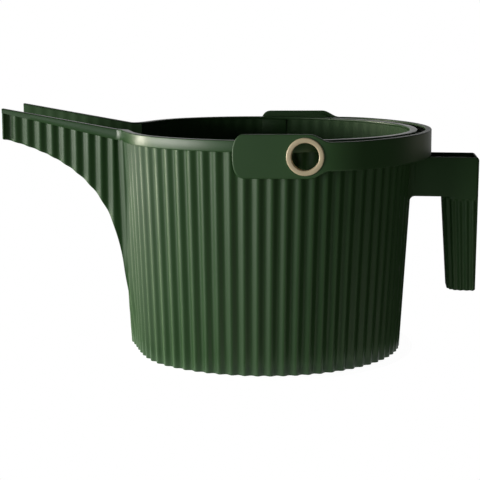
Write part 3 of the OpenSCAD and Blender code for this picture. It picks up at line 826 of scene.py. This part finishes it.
def bail():
    """Carrying bail: two flat plates joined by a strap that bends round the rear."""
    bm = bmesh.new()
    along = bm.verts.layers.float.new("along")
    inset = bm.verts.layers.float.new("inset")
    edges = bail_plate(bm, along, inset, NEAR)
    bail_plate(bm, along, inset, FAR)
    bends = [i / BEND_STEPS for i in range(PLATE_STEPS, BEND_STEPS + 1)]
    rear = [1 + i / REAR_STEPS for i in range(1, REAR_STEPS)]
    stations = bends[1:] + rear + [3 - u for u in reversed(bends)]
    for u in stations:
        made = bmesh.ops.extrude_edge_only(bm, edges=edges)
        ends = set(new_verts(made))
        edges = [e for e in new_edges(made) if ends.issuperset(e.verts)]
        x, y = bail_point(u, PLATE_OUT, STRAP_OUT, BEND_R)
        for v in ends:
            v.co = (x, y, math.copysign(bail_half(x) - v[inset], v.co.z))
            v[along] = u
    bmesh.ops.remove_doubles(bm, verts=bm.verts, dist=HAIR / 10)
    bmesh.ops.recalc_face_normals(bm, faces=bm.faces)
    made = bmesh.ops.extrude_face_region(bm, geom=bm.faces[:], use_keep_orig=True)
    for v in new_verts(made):
        u = v[along]
        if u < 0:
            v.co.y = math.copysign(plate_y(v.co.x, PLATE_IN, BEND_R - PLATE_T), v.co.y)
        else:
            x, y = bail_point(u, PLATE_IN, STRAP_OUT - STRAP_T, BEND_R - PLATE_T)
            v.co = (x, y, math.copysign(bail_half(x) - v[inset], v.co.z))
    bm.normal_update()
    discs = [f for f in bm.faces if len(f.verts) >= RING_STEPS]
    for face in [f for f in discs if abs(f.calc_center_median().y) < PLATE_OUT - HAIR]:
        made = bmesh.ops.extrude_face_region(bm, geom=[face])
        for v in new_verts(made):
            v.co.y += math.copysign(SOCKET_DEPTH, v.co.y)
        if face.is_valid:
            bmesh.ops.delete(bm, geom=[face], context="FACES_ONLY")
    tilted = Matrix.Translation(PIVOT) @ Matrix.Rotation(-BAIL_TILT, 4, "Y")
    bmesh.ops.transform(bm, matrix=tilted, verts=bm.verts)
    round_piece(piece("bail_strap", bm, BAIL_GREEN, "bail", ("bail",)), BAIL_EDGE_R)


def spun(name, section, at, side, closed, material, body, nodes):
    """A piece turned about an axis along Y from a section of radius and distance from the middle plane."""
    bm = bmesh.new()
    verts = [bm.verts.new((at.x + r, side * y, at.z)) for r, y in section]
    edges = [bm.edges.new(pair) for pair in zip(verts, verts[1:] + verts[:1])]
    if not closed:
        bm.edges.remove(edges.pop())
    bmesh.ops.spin(bm, geom=verts + edges, cent=(at.x, 0, at.z), axis=(0, 1, 0), angle=2 * math.pi,
                   steps=TURN_STEPS, use_merge=True)
    piece(name, bm, material, body, nodes)


def eyelet(side, word):
    """Ring with rounded edges in front of the plate, and its sleeve through the plate."""
    e, steps = RING_EDGE_R, 4
    back = EYELET_BACK + WASHER_LIP - HAIR
    section = [(HOLE_R, back), (SLEEVE_R, back), (SLEEVE_R, PLATE_OUT - HAIR), (RING_R, PLATE_OUT - HAIR)]
    section += arc(RING_R - e, RING_FACE - e, e, 0, 90, steps)
    section += arc(HOLE_R + e, RING_FACE - e, e, 90, 180, steps)
    spun("eyelet_ring_" + word, section, EYELET, side, True, CHAMPAGNE, "bail",
         ("eyelet_" + word,))


def washer(side, word):
    """Ring that closes the eyelet behind the plate, with a thin lip over the sleeve's end."""
    e = RING_EDGE_R / 2
    lip = WASHER_LOW.y + WASHER_LIP
    section = [(HOLE_R + HAIR, WASHER_LOW.y), (HOLE_R + HAIR, lip), (SLEEVE_R, lip)]
    section += [(SLEEVE_R, WASHER_HIGH.y), (RING_R, WASHER_HIGH.y)]
    section += arc(RING_R - e, WASHER_LOW.y + e, e, 0, -90)
    spun("eyelet_back_" + word, section, EYELET, side, True, BAIL_GREEN, "bail",
         ("eyelet_washer_" + word,))


def stud(side, word):
    """Stud with a tenon in the pad and a head in the plate's socket."""
    e = RING_EDGE_R
    section = [(0, STUD_LOW.y), (TENON_R, STUD_LOW.y), (TENON_R, PAD_HIGH.y), (STUD_R, PAD_HIGH.y)]
    section += arc(STUD_R - e, STUD_HIGH.y - e, e, 0, 90) + [(0, STUD_HIGH.y)]
    spun("stud_" + word, section, PIVOT, side, False, GREEN, "bucket",
         ("pivot_stud_" + word,))


def pad(side, word):
    """Pivot pad under the rim band, whose back stands a little proud of the wall inside, up to the flange."""
    inside = crest_r(PAD_LOW.z) - FLUTE_DEPTH - WALL - PAD_PROUD
    low, high = Vector((PAD_LOW.x, inside, PAD_LOW.z)), PAD_HIGH
    bm = bmesh.new()
    bmesh.ops.create_cube(bm, size=1)
    bmesh.ops.scale(bm, vec=high - low, verts=bm.verts)
    bmesh.ops.translate(bm, vec=(low + high) / 2, verts=bm.verts)
    cut_across(bm, (0, 1, 0), [inside + WALL])
    bm.normal_update()
    top = [f for f in bm.faces if f.normal.z > LEVEL and f.calc_center_median().y < inside + WALL]
    made = bmesh.ops.extrude_face_region(bm, geom=top)
    for v in new_verts(made):
        v.co.z = WALL_TOP
    bmesh.ops.delete(bm, geom=[f for f in top if f.is_valid], context="FACES_ONLY")
    upright = [e for e in bm.edges if all(v.co.y < inside + HAIR for v in e.verts)]
    round_off(bm, upright, BASE_EDGE_R)
    bmesh.ops.scale(bm, vec=(1, side, 1), verts=bm.verts)
    piece("pad_" + word, bm, GREEN, "bucket", ("pivot_pad_" + word,))


bucket_shell()
rim()
spout_trough()
rear_arm()
rear_grip()
bail()
for side, word in ((NEAR, "near"), (FAR, "far")):
    eyelet(side, word)
    washer(side, word)
    stud(side, word)
    pad(side, word)


# Camera, light and floor

CAMERA_AT = Vector((0.1027, -1.2977, 0.3215))
CAMERA_LOOKS = Vector((-0.0956, 0.9816, -0.1652))
CAMERA_ROLL = math.radians(0.14)
CAMERA_LENS = 98.86
SENSOR_W = 36
WHITE = (1, 1, 1, 1)
BACKDROP_FROM, BACKDROP_FULL = 0.84, 1
ROOM_LEVEL = 0.02
STAGE_R = 0.15
STAGE_STEPS = 96
STAGE_GREY = (0.12, 0.12, 0.12, 1)
STAGE_ROUGHNESS = 0.9
STAGE_LIFT = 0.975
LAMPS_FACE = Vector((0, 0, 0.25))
LAMP_DISTANCE, SIDE_LAMP_DISTANCE = 1.25, 1.8
WARM, SOFT_WHITE, COOL, LIME = (1, 0.95, 0.80), (1, 0.98, 0.94), (0.92, 0.98, 1), (1, 1, 0.85)


def camera():
    data = bpy.data.cameras.new("camera")
    data.sensor_width = SENSOR_W
    data.lens = CAMERA_LENS
    obj = bpy.data.objects.new("camera", data)
    bpy.context.scene.collection.objects.link(obj)
    turn = CAMERA_LOOKS.to_track_quat("-Z", "Y").to_matrix().to_4x4()
    obj.matrix_world = Matrix.Translation(CAMERA_AT) @ turn @ Matrix.Rotation(CAMERA_ROLL, 4, "Z")
    bpy.context.scene.camera = obj


def softbox(name, around, up, width, height, watts, colour, distance=LAMP_DISTANCE):
    """Oblong lamp that faces the bucket, at angles in degrees round it and above its middle."""
    data = bpy.data.lights.new(name, "AREA")
    data.shape = "RECTANGLE"
    data.size = width
    data.size_y = height
    data.energy = watts
    data.color = colour
    obj = bpy.data.objects.new(name, data)
    bpy.context.scene.collection.objects.link(obj)
    around, up = math.radians(around), math.radians(up)
    away = Vector((math.cos(up) * math.cos(around), math.cos(up) * math.sin(around), math.sin(up)))
    obj.location = LAMPS_FACE + distance * away
    obj.rotation_euler = (-away).to_track_quat("-Z", "Y").to_euler()


def shown_plainly(nodes, links):
    """1 for rays that show the background itself: from the camera, in reflections, through clear things."""
    path = nodes.new("ShaderNodeLightPath")
    shown = path.outputs["Is Camera Ray"]
    for ray in ("Is Glossy Ray", "Is Transmission Ray"):
        either = nodes.new("ShaderNodeMath")
        either.operation = "MAXIMUM"
        links.new(shown, either.inputs[0])
        links.new(path.outputs[ray], either.inputs[1])
        shown = either.outputs[0]
    return shown, path


def studio_world():
    """Dim room with a white backdrop behind the object."""
    world = bpy.data.worlds.new("studio")
    bpy.context.scene.world = world
    world.use_nodes = True
    nodes, links = world.node_tree.nodes, world.node_tree.links
    back = nodes["Background"]
    shown, path = shown_plainly(nodes, links)
    place = nodes.new("ShaderNodeTexCoord")
    axes = nodes.new("ShaderNodeSeparateXYZ")
    links.new(place.outputs["Generated"], axes.inputs[0])
    behind = nodes.new("ShaderNodeMapRange")
    behind.inputs["From Min"].default_value = BACKDROP_FROM
    behind.inputs["From Max"].default_value = BACKDROP_FULL
    links.new(axes.outputs["Y"], behind.inputs["Value"])
    seen = nodes.new("ShaderNodeMath")
    seen.operation = "MAXIMUM"
    links.new(behind.outputs["Result"], seen.inputs[0])
    links.new(path.outputs["Is Camera Ray"], seen.inputs[1])
    white = nodes.new("ShaderNodeMath")
    white.operation = "MULTIPLY"
    links.new(seen.outputs[0], white.inputs[0])
    links.new(shown, white.inputs[1])
    level = nodes.new("ShaderNodeMapRange")
    level.inputs["To Min"].default_value = ROOM_LEVEL
    level.inputs["To Max"].default_value = 1
    links.new(white.outputs[0], level.inputs["Value"])
    links.new(level.outputs["Result"], back.inputs["Strength"])
    back.inputs["Color"].default_value = WHITE


def studio_floor():
    """Round floor that shows white like the backdrop and keeps the shadow."""
    bm = bmesh.new()
    bmesh.ops.create_circle(bm, cap_ends=True, segments=STAGE_STEPS, radius=STAGE_R)
    mesh = bpy.data.meshes.new("floor")
    bm.to_mesh(mesh)
    bm.free()
    floor = bpy.data.objects.new("floor", mesh)
    bpy.context.scene.collection.objects.link(floor)
    material = bpy.data.materials.new("pale_floor")
    material.use_nodes = True
    nodes, links = material.node_tree.nodes, material.node_tree.links
    shader = nodes["Principled BSDF"]
    shader.inputs["Base Color"].default_value = STAGE_GREY
    shader.inputs["Roughness"].default_value = STAGE_ROUGHNESS
    shader.inputs["Emission Color"].default_value = WHITE
    shown, _ = shown_plainly(nodes, links)
    lift = nodes.new("ShaderNodeMath")
    lift.operation = "MULTIPLY"
    lift.inputs[1].default_value = STAGE_LIFT
    links.new(shown, lift.inputs[0])
    links.new(lift.outputs[0], shader.inputs["Emission Strength"])
    mesh.materials.append(material)


def studio():
    studio_world()
    studio_floor()
    softbox("key", around=161, up=-2, width=0.55, height=0.36, watts=16, colour=WARM)
    softbox("side", around=206, up=-1.5, width=1.55, height=0.52, watts=26.5, colour=SOFT_WHITE,
            distance=SIDE_LAMP_DISTANCE)
    softbox("front", around=250, up=-3, width=0.5, height=0.3, watts=0.75, colour=COOL)
    softbox("fill", around=304, up=-34, width=1, height=0.3, watts=1.25, colour=LIME)
    softbox("rear", around=40, up=-5, width=0.5, height=0.3, watts=0.18, colour=WARM)


camera()
studio()
bpy.context.scene.view_settings.view_transform = "Standard"
